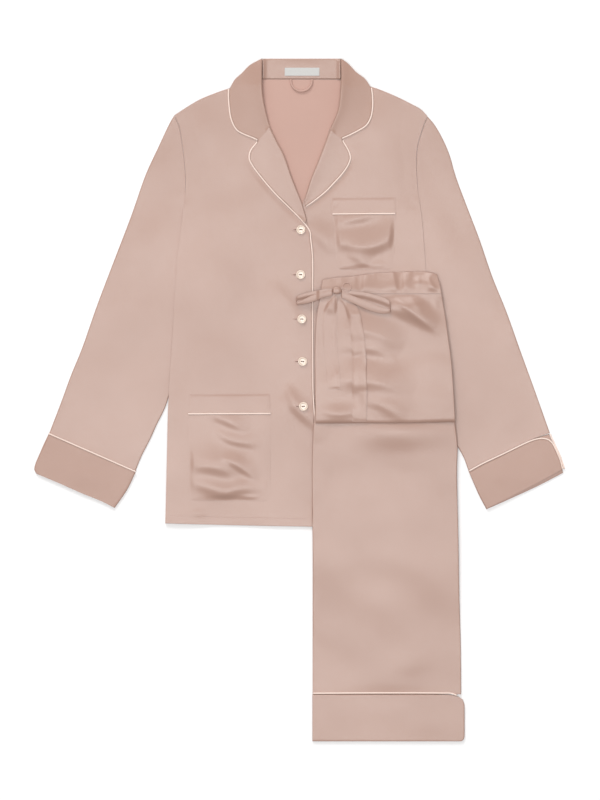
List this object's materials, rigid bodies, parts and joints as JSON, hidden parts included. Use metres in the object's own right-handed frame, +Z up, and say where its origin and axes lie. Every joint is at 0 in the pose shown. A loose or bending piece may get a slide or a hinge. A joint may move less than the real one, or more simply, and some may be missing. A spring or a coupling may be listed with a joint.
{
  "type": "pyjama set",
  "caption": "Satin pyjama set laid flat: notched-collar jacket with piped edges and pockets, and drawstring trousers folded on it.",
  "frame": {"origin": "centre of the whole set's plan, on the surface it lies on", "axes": "+Y towards the jacket's collar, +X towards the wearer's left sleeve, +Z up from the surface"},
  "size_m": [0.7962, 1.0234, 0.0261],
  "materials": {
    "satin": "smooth satin with a soft sheen",
    "reverse": "matt reverse side of the satin",
    "piping": "pale corded piping",
    "button_shell": "polished cream shell look",
    "label": "plain woven tape"
  },
  "bodies": {
    "root": {"back_panel": "reverse", "button_1": "button_shell", "button_2": "button_shell", "button_3": "button_shell", "button_4": "button_shell", "button_5": "button_shell", "chest_pocket": "satin", "chest_pocket_band": "satin", "collar_back": "reverse", "collar_left": "satin", "collar_right": "satin", "cuff_left": "satin", "cuff_left_under": "satin", "cuff_right": "satin", "front_left": "satin", "front_right": "satin", "hang_loop": "satin", "hip_pocket": "satin", "hip_pocket_band": "satin", "label": "label", "lapel_left": "satin", "lapel_right": "satin", "leg_top": "satin", "leg_under": "satin", "piping_chest_pocket": "piping", "piping_collar_left": "piping", "piping_collar_right": "piping", "piping_cuff_left": "piping", "piping_cuff_left_under": "piping", "piping_cuff_right": "piping", "piping_front": "piping", "piping_hip_pocket": "piping", "piping_lapel_left": "piping", "piping_trouser_cuff": "piping", "sleeve_left": "satin", "sleeve_right": "satin", "tie_knot": "satin", "tie_loop_left": "satin", "tie_loop_right": "satin", "tie_tail_left": "satin", "tie_tail_right": "satin", "trouser_cuff": "satin", "trouser_cuff_under": "satin", "trouser_fold": "satin", "trouser_hip": "satin", "waistband": "satin"}
  },
  "joints": []
}
